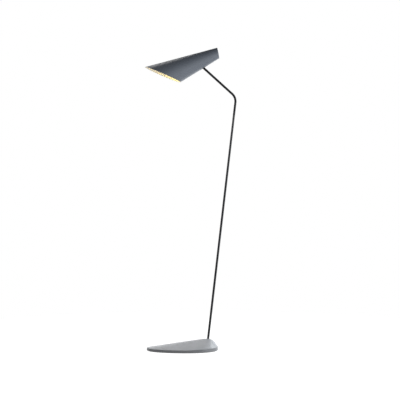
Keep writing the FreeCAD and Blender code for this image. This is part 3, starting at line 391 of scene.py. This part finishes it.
def add_bump(material, *layers):
    """Bump from several layers, each on top of the one before."""
    tree = material.node_tree
    normal = None
    for layer in layers:
        node = tree.nodes.new("ShaderNodeBump")
        set_inputs(node, Strength=layer.strength, Distance=layer.depth)
        tree.links.new(layer.source, node.inputs["Height"])
        if normal is not None:
            tree.links.new(normal, node.inputs["Normal"])
        normal = node.outputs["Normal"]
    drive(material, "Normal", normal)


def wear_edges(material, colour, worn):
    """The colour of worn lacquer on outer edges, and the paint's own colour elsewhere."""
    tree = material.node_tree
    geometry = tree.nodes.new("ShaderNodeNewGeometry")
    edge = ramp(material, geometry.outputs["Pointiness"], [(0.52, 0.0), (0.6, 1.0)])
    patchy = ramp(material, noise(material, 180, 4), [(0.45, 0.0), (0.7, 1.0)])
    amount = calculate(tree, "MULTIPLY", edge, patchy)
    mix = tree.nodes.new("ShaderNodeMix")
    mix.data_type = "RGBA"
    tree.links.new(amount, mix.inputs["Factor"])
    tree.links.new(colour, mix.inputs["A"])
    mix.inputs["B"].default_value = (*worn, 1)
    drive(material, "Base Color", mix.outputs["Result"])


# ---------------------------------------------------------------- materials

def satin_paint(name, colour, roughness, coat, grain, cast=0.0, specular=0.5):
    """Sprayed satin paint: faint clouding, orange peel, dust nibs and a little edge wear."""
    material = new_material(name, colour, roughness, coat=coat, coat_roughness=0.24)
    set_inputs(shader_of(material), Specular_IOR_Level=specular)
    clouding = clouded(material, noise(material, 14, 4), shaded(colour, 0.93), shaded(colour, 1.07))
    wear_edges(material, clouding, shaded(colour, 1.8))
    vary_roughness(material, noise(material, 60, 4), roughness - 0.05, roughness + 0.07)
    peel = Layer(noise(material, grain, 2), strength=0.15, depth=GRAIN)
    nibs = ramp(material, cells(material, 140), [(0.0, 1.0), (0.035, 0.0)])
    layers = [peel, Layer(nibs, strength=0.05, depth=HAIR)]
    if cast:
        layers.insert(0, Layer(noise(material, 28, 2), strength=cast, depth=CAST))
    add_bump(material, *layers)
    return material


def shade_inside():
    """Matt warm white lining with faint ageing and a fine sprayed grain."""
    colour = (0.9, 0.84, 0.7)
    material = new_material("shade_white_lining", colour, 0.62)
    vary_colour(material, colour, noise(material, 30, 4), 0.95, 1.03)
    add_bump(material, Layer(noise(material, 1600, 2), strength=0.15, depth=GRAIN))
    return material


def rubber():
    """Matt black rubber with a pebbled skin."""
    colour = (0.028, 0.028, 0.029)
    material = new_material("pad_rubber", colour, 0.85)
    vary_colour(material, colour, noise(material, 90, 5), 0.7, 1.5)
    vary_roughness(material, noise(material, 220, 3), 0.75, 0.95)
    add_bump(material, Layer(cells(material, 900), strength=0.35, depth=GRAIN))
    return material


def zinc():
    """Zinc plating: small crystal spangle, fine turning marks and soft tarnish."""
    colour = (0.62, 0.635, 0.66)
    material = new_material("zinc_plating", colour, 0.34, metallic=1.0)
    vary_colour(material, colour, cells(material, 700), 0.82, 1.12)
    vary_roughness(material, noise(material, 400, 4), 0.24, 0.46)
    add_bump(material, Layer(noise(material, 2500, 2, (1, 1, 4)), strength=0.1, depth=HAIR))
    return material


def sheet_steel():
    """Cold-rolled sheet: rolling lines along one way, with an oily bloom."""
    colour = (0.46, 0.47, 0.49)
    material = new_material("rolled_sheet", colour, 0.38, metallic=1.0)
    vary_colour(material, colour, noise(material, 40, 5), 0.85, 1.1)
    lines = noise(material, 60, 3, (1, 30, 30))
    vary_roughness(material, lines, 0.28, 0.5)
    add_bump(material, Layer(lines, strength=0.12, depth=HAIR))
    return material


def moulding(name, colour, roughness, grain=1400):
    """Moulded plastic with a spark-eroded grain and flow marks."""
    material = new_material(name, colour, roughness)
    vary_colour(material, colour, noise(material, 50, 3), 0.9, 1.12)
    vary_roughness(material, noise(material, 150, 3), roughness - 0.08, roughness + 0.1)
    add_bump(material, Layer(cells(material, grain), strength=0.2, depth=HAIR))
    return material


def brass():
    """Machined brass with turning marks and patches of tarnish."""
    colour = (0.76, 0.55, 0.24)
    material = new_material("machined_brass", colour, 0.28, metallic=1.0)
    tarnish = ramp(material, noise(material, 260, 5), [(0.35, (0.76, 0.56, 0.26)),
                                                       (0.6, (0.66, 0.45, 0.19)),
                                                       (0.8, (0.4, 0.27, 0.13))])
    drive(material, "Base Color", tarnish)
    vary_roughness(material, noise(material, 500, 3), 0.2, 0.42)
    add_bump(material, Layer(noise(material, 3000, 2, (1, 6, 1)), strength=0.1, depth=HAIR))
    return material


def fibre():
    """Red-brown vulcanised fibre with flecks of its layers."""
    colour = (0.3, 0.085, 0.05)
    material = new_material("vulcanised_fibre", colour, 0.7)
    vary_colour(material, colour, noise(material, 900, 5, (1, 5, 1)), 0.7, 1.35)
    vary_roughness(material, noise(material, 700, 3), 0.6, 0.85)
    add_bump(material, Layer(noise(material, 2400, 3), strength=0.25, depth=HAIR))
    return material


def lead_sleeve():
    """Two cores: brown at the back of the lamp's middle plane, blue at the front."""
    material = new_material("lead_sleeves", (0.12, 0.06, 0.04), 0.5)
    tree = material.node_tree
    split = tree.nodes.new("ShaderNodeSeparateXYZ")
    tree.links.new(place_on(material), split.inputs[0])
    half_blend = 0.0001
    side = map_range(tree, split.outputs["Y"], -half_blend, half_blend, 0.0, 1.0)
    drive(material, "Base Color", ramp(material, side, [(0.49, (0.03, 0.09, 0.3)),
                                                        (0.51, (0.14, 0.06, 0.03))]))
    vary_roughness(material, noise(material, 800, 3), 0.42, 0.6)
    add_bump(material, Layer(noise(material, 1500, 2), strength=0.12, depth=HAIR))
    return material


def nickel():
    """Nickel plate, handled and slightly dulled."""
    colour = (0.7, 0.68, 0.64)
    material = new_material("nickel_shell", colour, 0.2, metallic=1.0)
    vary_colour(material, colour, noise(material, 300, 4), 0.85, 1.08)
    vary_roughness(material, noise(material, 500, 3), 0.14, 0.32)
    return material


BULB_STRENGTH = 6.0
# Distances from the cap at which the glow leaves the neck's colour and reaches the globe's.
NECK_GLOW_END = 0.004
GLOBE_GLOW_START = 0.03


def opal_glass():
    """Lit opal glass: warm, and of a deeper and dimmer colour towards the neck."""
    material = new_material("opal_glass", (0.93, 0.9, 0.84), 0.25, coat=0.5, coat_roughness=0.05)
    tree = material.node_tree
    reach = tree.nodes.new("ShaderNodeVectorMath")
    reach.operation = "DISTANCE"
    place = tree.nodes.new("ShaderNodeTexCoord")
    tree.links.new(place.outputs["Object"], reach.inputs[0])
    reach.inputs[1].default_value = lamp_point(0, 0, CAP_FRONT)
    far = map_range(tree, reach.outputs["Value"], NECK_GLOW_END, GLOBE_GLOW_START, 0.0, 1.0)
    drive(material, "Emission Color", ramp(material, far, [(0.0, (0.95, 0.6, 0.18)),
                                                           (1.0, (1.0, 0.84, 0.36))]))
    clouding = clouded(material, noise(material, 120, 4), (0.9, 0.87, 0.8), (0.96, 0.94, 0.9))
    drive(material, "Base Color", clouding)
    set_inputs(shader_of(material), Emission_Strength=BULB_STRENGTH)
    return material


bpy.context.scene.view_settings.view_transform = "Standard"
add_camera()
add_world()
add_floor()
add_lights()

FINISHES = {
    "foot_paint": satin_paint("foot_satin_graphite", (0.175, 0.178, 0.187), 0.5, coat=0.15,
                              grain=1100, cast=0.12),
    "tube_paint": satin_paint("tube_satin_black", (0.021, 0.0215, 0.024), 0.36, coat=0.0,
                              grain=1300, specular=0.2),
    "shade_paint": satin_paint("shade_satin_graphite", (0.16, 0.178, 0.212), 0.42, coat=0.25,
                               grain=1300),
    "rubber": rubber(),
    "zinc_steel": zinc(),
    "plate_steel": sheet_steel(),
    "black_plastic": moulding("black_moulding", (0.024, 0.024, 0.026), 0.5),
    "white_plastic": moulding("white_moulding", (0.78, 0.76, 0.7), 0.45),
    "bush_plastic": moulding("acetal_moulding", (0.72, 0.69, 0.6), 0.35, 2200),
    "brass": brass(),
    "fibre": fibre(),
    "lead_sleeve": lead_sleeve(),
    "bulb_shell": nickel(),
    "bulb_glass": opal_glass(),
}
LINING = shade_inside()

# ---------------------------------------------------------------- mesh helpers

# Faces that meet at more than this angle keep a crease between them.
CREASE = math.radians(32)


def band(low, high, count):
    """Quads between two rings of that many points, given by their first points."""
    quads = []
    for side in range(count):
        after = (side + 1) % count
        quads.append((low + side, low + after, high + after, high + side))
    return quads


def skin(rings):
    """Points and quads over a stack of equal rings whose last ring joins the first."""
    count = len(rings[0])
    points = [point for ring in rings for point in ring]
    faces = []
    for row in range(len(rings)):
        faces += band(row * count, (row + 1) % len(rings) * count, count)
    return points, faces


def new_mesh(name, points, faces):
    mesh = bpy.data.meshes.new(name)
    mesh.from_pydata(points, [], faces)
    mesh.validate()
    outward(mesh)
    return add_to_scene(name, mesh)


def outward(mesh):
    """Turn every face outwards."""
    form = bmesh.new()
    form.from_mesh(mesh)
    bmesh.ops.recalc_face_normals(form, faces=form.faces)
    form.to_mesh(mesh)
    form.free()


def smooth(piece):
    """Smooth shading, apart from the creases."""
    form = bmesh.new()
    form.from_mesh(piece.data)
    for face in form.faces:
        face.smooth = True
    for edge in form.edges:
        edge.smooth = edge.is_manifold and edge.calc_face_angle(0.0) < CREASE
    form.to_mesh(piece.data)
    form.free()


def prism(name, outline, base, along):
    """A closed prism over an outline of points, used as a cutter."""
    low = [base + point for point in outline]
    high = [point + along for point in low]
    count = len(outline)
    faces = [tuple(range(count)), tuple(reversed(range(count, 2 * count)))]
    faces += band(0, count, count)
    return new_mesh(name, low + high, faces)


def cut(piece, cutters):
    """Take the cutters out of the piece, and drop them."""
    for number, cutter in enumerate(cutters):
        modifier = piece.modifiers.new(f"cut_{number}", "BOOLEAN")
        modifier.operation = "DIFFERENCE"
        modifier.solver = "EXACT"
        modifier.object = cutter
    bpy.context.view_layer.update()
    graph = bpy.context.evaluated_depsgraph_get()
    result = bpy.data.meshes.new_from_object(piece.evaluated_get(graph))
    piece.modifiers.clear()
    piece.data = result
    for cutter in cutters:
        bpy.data.objects.remove(cutter)


def paint(piece, *materials):
    piece.data.materials.clear()
    for material in materials:
        piece.data.materials.append(material)


def finish_piece(piece, body, node):
    """Shade a piece smoothly, ride it on a body and hide the CAD node that it stands in for."""
    smooth(piece)
    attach(piece, body)
    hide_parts(node)


# ---------------------------------------------------------------- shade

SHADE_SEGMENTS = 240
SHADE_ROWS = 56
SLOT_SEGMENTS = 48
# Where the slot's cutter starts below the shade's axis, in cone radii.
SLOT_CUTTER_START = 1.5
# The least facing (the cosine to the way in, or to the way out of the mouth) that is lined.
LINED_INWARD = 0.6
LINED_MOUTH = 0.9
TAPER = math.tan(CONE_HALF_ANGLE)
WALL_ACROSS = SHADE_SHEET / math.cos(CONE_HALF_ANGLE)


def shade_ends(turn, inset):
    """Heights on the cone's axis where a line of the cone meets the two oblique cuts."""
    lean = math.cos(turn)
    radius = CONE_RADIUS - inset
    front = math.tan(FRONT_CUT) * lean
    rear = math.tan(REAR_CUT) * lean
    return ((-REAR_REACH - radius * rear) / (1 + TAPER * rear),
            (FRONT_REACH + radius * front) / (1 - TAPER * front))


def shade_profile(turn):
    """The closed outline of the sheet at one angle, as (inset, height)."""
    outer_rear, outer_front = shade_ends(turn, 0)
    inner_rear, inner_front = shade_ends(turn, WALL_ACROSS)
    profile = [(0, height)
               for height in spread(outer_rear + SHADE_EDGE, outer_front - SHADE_EDGE, SHADE_ROWS)]
    for inset in (SHADE_EDGE, WALL_ACROSS - SHADE_EDGE):
        profile.append((inset, shade_ends(turn, inset)[1]))
    profile += [(WALL_ACROSS, height)
                for height in spread(inner_front - SHADE_EDGE, inner_rear + SHADE_EDGE, SHADE_ROWS)]
    for inset in (WALL_ACROSS - SHADE_EDGE, SHADE_EDGE):
        profile.append((inset, shade_ends(turn, inset)[0]))
    return profile


def shade_rings():
    turns = round_turns(SHADE_SEGMENTS)
    profiles = [shade_profile(turn) for turn in turns]
    rings = []
    for row in range(len(profiles[0])):
        ring = []
        for turn, profile in zip(turns, profiles):
            inset, height = profile[row]
            radius = CONE_RADIUS - inset + height * TAPER
            ring.append(lamp_point(radius * math.cos(turn), radius * math.sin(turn), height))
        rings.append(ring)
    return rings


def slot_cutter():
    """The arm's slot in the underside: a straight run between two half circles."""
    half_run = (SLOT_LENGTH - SLOT_WIDTH) / 2
    outline = []
    for turn in round_turns(SLOT_SEGMENTS):
        end = half_run if math.sin(turn) > 0 else -half_run
        outline.append(ACROSS * (SLOT_WIDTH / 2 * math.cos(turn))
                       + FORWARD * (SLOT_WIDTH / 2 * math.sin(turn) + end))
    base = lamp_point(-CONE_RADIUS * SLOT_CUTTER_START, 0, SLOT_CENTRE)
    return prism("slot_cutter", outline, base, UPWARD * CONE_RADIUS)


def line_shade(piece):
    """Give the lining's material to the inner faces and to the sheet's edge round the mouth."""
    mouth = (FORWARD - UPWARD * math.tan(FRONT_CUT)).normalized()
    for face in piece.data.polygons:
        reach = face.center - DATUM
        outside = reach - FORWARD * reach.dot(FORWARD)
        middle = CONE_RADIUS - SHADE_SHEET / 2 + reach.dot(FORWARD) * TAPER
        facing = -face.normal.dot(outside.normalized())
        inner = outside.length < middle and facing > LINED_INWARD
        face.material_index = 1 if inner or face.normal.dot(mouth) > LINED_MOUTH else 0


def build_shade():
    piece = new_mesh("shade_shell", *skin(shade_rings()))
    cut(piece, [slot_cutter()])
    paint(piece, FINISHES["shade_paint"], LINING)
    line_shade(piece)
    finish_piece(piece, "shade_head", "shade")


# ---------------------------------------------------------------- foot

FOOT_SEGMENTS = 192
EDGE_RINGS = 6
DOME_RINGS = 28
CROWN_RINGS = 4
UNDER_BREAK = 0.0006
BORE_BREAK = (0.0003, 0.0004)
# The rise at which the dome starts to turn into the crown's land, and how far the turn reaches
# over the land towards the bore.
DOME_END = 0.985
LAND_TURN = 0.35
GLAND_SEGMENTS = 64
GLAND_BORE_LENGTH = 0.03
GLAND_SINK_LENGTH = 0.01


def egg(front, rear, half_width, widest, height, heel_rise=0.0):
    """A ring of two half ellipses that meet at the widest place; the rear one may rise."""
    ring = []
    for turn in round_turns(FOOT_SEGMENTS):
        along = math.cos(turn)
        reach = rear + widest if along > 0 else front - widest
        ring.append(Vector((-widest + reach * along, half_width * math.sin(turn),
                            height + heel_rise * max(0.0, along))))
    return ring


def foot_outline(inset, height, heel_rise=0.0):
    return egg(FOOT_FRONT - inset, FOOT_REAR - inset, FOOT_HALF_WIDTH - inset, FOOT_WIDEST,
               height, heel_rise)


def edge_place(turn):
    """The inset and height of the rounded edge where it has turned that far from the wall."""
    inset = FOOT_EDGE_ROUND * (1 - math.cos(turn))
    return inset, FOOT_RIM - FOOT_EDGE_ROUND * (1 - math.sin(turn))


def dome_ring(rise):
    """The dome's section at a rise from the rounded edge (0) to the crown (1)."""
    left = 1.0 - rise
    front_power, rear_power, side_power = DOME_POWERS
    inset, shoulder = edge_place(EDGE_TURN)
    reach = CROWN_LAND + LAND_MARGIN
    front = reach + (FOOT_FRONT - inset - reach) * left ** front_power
    rear = reach + (FOOT_REAR - inset - reach) * left ** rear_power
    aside = FOOT_HALF_WIDTH - inset - CROWN_LAND
    half_width = CROWN_LAND + aside * left ** side_power
    height = shoulder + (FOOT_CROWN - shoulder) * rise
    return egg(front, rear, half_width, FOOT_WIDEST * left, height, HEEL_RISE * left)


def rounded(low, corner, high, steps):
    """Rings that turn from one ring to another round the corner ring between them."""
    rings = []
    for step in range(1, steps):
        share = step / steps
        rings.append([a.lerp(b, share).lerp(b.lerp(c, share), share)
                      for a, b, c in zip(low, corner, high)])
    return rings


def stem_ring(radius, height=None, along=None):
    """A ring round the stem's axis: level at a height, or square to the axis at a distance."""
    ring = circle(radius, STEM_SIDE, ACROSS, FOOT_SEGMENTS)
    if height is None:
        return [point + STEM_DIRECTION * along for point in ring]
    return [point + STEM_DIRECTION * ((height - point.z) / STEM_DIRECTION.z) for point in ring]


def rim_rings():
    """From the foot's underside up the wall and round its upper edge."""
    rings = [foot_outline(UNDER_BREAK, FOOT_UNDER), foot_outline(0, FOOT_UNDER + UNDER_BREAK)]
    for step in range(EDGE_RINGS):
        rings.append(foot_outline(*edge_place(EDGE_TURN * step / EDGE_RINGS), HEEL_RISE))
    return rings


def top_rings():
    """Over the dome and the crown's land to the edge of the stem's bore."""
    crown = dome_ring(1.0)
    last_dome = dome_ring(DOME_END)
    bore = stem_ring(STEM_BORE, FOOT_CROWN)
    land = [outer.lerp(inner, LAND_TURN) for outer, inner in zip(crown, bore)]
    rings = [dome_ring(DOME_END * step / DOME_RINGS) for step in range(DOME_RINGS)]
    rings.append(last_dome)
    rings += rounded(last_dome, crown, land, CROWN_RINGS)
    rings.append(land)
    return rings


def inner_rings():
    """Down the bore, out over the nut's seat, and round the wiring recess and plate rebate."""
    wider, lower = BORE_BREAK
    recess = (RECESS_FRONT, RECESS_REAR, RECESS_HALF_WIDTH, FOOT_WIDEST)
    return [stem_ring(STEM_BORE + wider, FOOT_CROWN),
            stem_ring(STEM_BORE, FOOT_CROWN - lower),
            stem_ring(STEM_BORE, along=SEAT_HEIGHT),
            stem_ring(SEAT_RADIUS, along=SEAT_HEIGHT),
            stem_ring(SEAT_RADIUS, RECESS_ROOF),
            egg(*recess, RECESS_ROOF),
            egg(*recess, PLATE_TOP),
            foot_outline(PLATE_INSET, PLATE_TOP),
            foot_outline(PLATE_INSET, FOOT_UNDER)]


def gland_cutter(name, radius, start, length):
    place = Vector((start, 0, GLAND_HEIGHT))
    return prism(name, circle(radius, ACROSS, UP, GLAND_SEGMENTS), place, ALONG * length)


def build_foot():
    piece = new_mesh("foot_casting", *skin(rim_rings() + top_rings() + inner_rings()))
    cut(piece, [gland_cutter("gland_hole", GLAND_BORE_RADIUS, GLAND_INNER, GLAND_BORE_LENGTH),
                gland_cutter("gland_sink", GLAND_SINK_RADIUS, GLAND_SINK_FLOOR, GLAND_SINK_LENGTH)])
    paint(piece, FINISHES["foot_paint"])
    finish_piece(piece, "stand", "base_casting")


# ---------------------------------------------------------------- stem and arm

TUBE_SEGMENTS = 64
TUBE_BREAK = 0.0003
STEM_STATIONS = 24
BEND_STEPS = 32
ARM_STATIONS = 10


def tube_line():
    """Places along the tube's middle line, each with its direction and its sideways direction."""
    turn = math.acos(STEM_DIRECTION.dot(ARM_DIRECTION))
    tangent = BEND_RADIUS * math.tan(turn / 2)
    inward = -STEM_SIDE
    line = []
    for along in spread(TUBE_FOOT, STEM_CORNER - tangent, STEM_STATIONS):
        line.append((STEM_DIRECTION * along, STEM_DIRECTION, inward))
    start = line[-1][0]
    middle = start + inward * BEND_RADIUS
    for step in range(1, BEND_STEPS + 1):
        angle = turn * step / BEND_STEPS
        outward_way = -inward * math.cos(angle) + STEM_DIRECTION * math.sin(angle)
        direction = STEM_DIRECTION * math.cos(angle) + inward * math.sin(angle)
        line.append((middle + outward_way * BEND_RADIUS, direction, -outward_way))
    leave, direction, sideways = line[-1]
    run = ARM_LENGTH - TUBE_END - tangent
    for along in spread(0, run, ARM_STATIONS)[1:]:
        line.append((leave + direction * along, direction, sideways))
    return line


def tube_ring(station, radius, shift=0.0):
    """A ring round the tube at a station, or shifted a little along it."""
    place, direction, sideways = station
    return [place + direction * shift + point
            for point in circle(radius, sideways, ACROSS, TUBE_SEGMENTS)]


def build_tube():
    """Outer skin up the tube, inner skin back down it, with both outer ends eased."""
    line = tube_line()
    first = line[0]
    last = line[-1]
    rings = [tube_ring(first, TUBE_OUTER - TUBE_BREAK), tube_ring(first, TUBE_OUTER, TUBE_BREAK)]
    rings += [tube_ring(station, TUBE_OUTER) for station in line[1:-1]]
    rings += [tube_ring(last, TUBE_OUTER, -TUBE_BREAK), tube_ring(last, TUBE_OUTER - TUBE_BREAK)]
    rings += [tube_ring(station, TUBE_INNER) for station in reversed(line)]
    piece = new_mesh("bent_tube", *skin(rings))
    paint(piece, FINISHES["tube_paint"])
    finish_piece(piece, "stand", "stem_tube")


# ---------------------------------------------------------------- bulb globe

GLOBE_SEGMENTS = 96
GLOBE_ROWS = 35
NECK_ROWS = 4
# How far the neck's straight part stays clear of its flare and of the globe.
FLARE_CLEAR = 0.001
GLOBE_CLEAR = 0.0008
# The angle left for the small flat at the globe's front pole.
POLE_FLAT = 0.02


def globe_profile(radius, neck, base):
    """Base, a flared neck and a round globe, as (radius, height) from the cap to the front."""
    meet = GLOBE_CENTRE - math.sqrt(radius ** 2 - neck ** 2)
    start = math.asin(neck / radius)
    profile = [(base, CAP_FRONT), (neck, CAP_FRONT + NECK_RISE)]
    straight = spread(CAP_FRONT + NECK_RISE + FLARE_CLEAR, meet - GLOBE_CLEAR, NECK_ROWS)
    profile += [(neck, height) for height in straight]
    for step in range(1, GLOBE_ROWS + 1):
        turn = start + (math.pi - POLE_FLAT - start) * step / GLOBE_ROWS
        profile.append((radius * math.sin(turn), GLOBE_CENTRE - radius * math.cos(turn)))
    return profile


def build_globe():
    """Even glass: an outer and an inner skin, each closed at the pole, joined at the neck."""
    outer = globe_profile(GLOBE_RADIUS, GLOBE_NECK, CAP_INSIDE)
    inner = globe_profile(GLOBE_RADIUS - GLOBE_WALL, GLOBE_NECK - GLOBE_WALL,
                          CAP_INSIDE - GLOBE_WALL)
    points = []
    faces = []
    for profile in (outer, inner):
        first = len(points)
        for radius, height in profile:
            for turn in round_turns(GLOBE_SEGMENTS):
                points.append(lamp_point(radius * math.cos(turn), radius * math.sin(turn), height))
        for row in range(len(profile) - 1):
            low = first + row * GLOBE_SEGMENTS
            faces += band(low, low + GLOBE_SEGMENTS, GLOBE_SEGMENTS)
        pole = first + (len(profile) - 1) * GLOBE_SEGMENTS
        faces.append(tuple(range(pole, pole + GLOBE_SEGMENTS)))
    faces += band(0, len(outer) * GLOBE_SEGMENTS, GLOBE_SEGMENTS)
    piece = new_mesh("opal_globe", points, faces)
    paint(piece, FINISHES["bulb_glass"])
    finish_piece(piece, "shade_head", "bulb_globe")


# ---------------------------------------------------------------- CAD nodes that stay

# Width of the softened edges on the nodes whose edges can be seen.
EDGE_WIDTHS = {
    "base_pad": 0.0004, "bottom_plate": 0.0003, "cord_gland": 0.00015, "swivel_spigot": 0.00015,
    "swivel_bush": 0.0001, "tilt_pivot_screw": 0.00012, "tilt_lock_nut": 0.00015,
    "lamp_bracket": 0.00015, "lampholder_body": 0.0002, "lampholder_ring": 0.00025,
    "lampholder_nut": 0.0002, "stud_nuts": 0.00012, "shade_rear_cap": 0.0002,
    "stem_lock_nut": 0.0002, "gland_nut": 0.0002, "terminal_block": 0.0003, "cord_clamp": 0.0002,
}
WELD_REACH = 0.00001
# Edges that turn by more than this are softened.
SOFT_ABOVE = math.radians(40)


def soften_edges(node, width):
    """Weld the node's loose facets, then bevel its sharp edges."""
    weld = node.modifiers.new("weld", "WELD")
    weld.merge_threshold = WELD_REACH
    bevel = node.modifiers.new("soft_edges", "BEVEL")
    bevel.width = width
    bevel.segments = 2
    bevel.limit_method = "ANGLE"
    bevel.angle_limit = SOFT_ABOVE
    bevel.harden_normals = True


def dress_nodes():
    """Each node's finish, by its slot, and its softened edges."""
    for name, node in NODES.items():
        paint(node, FINISHES[SLOT_OF[name]])
        if name in EDGE_WIDTHS:
            soften_edges(node, EDGE_WIDTHS[name])


dress_nodes()
build_shade()
build_foot()
build_tube()
build_globe()
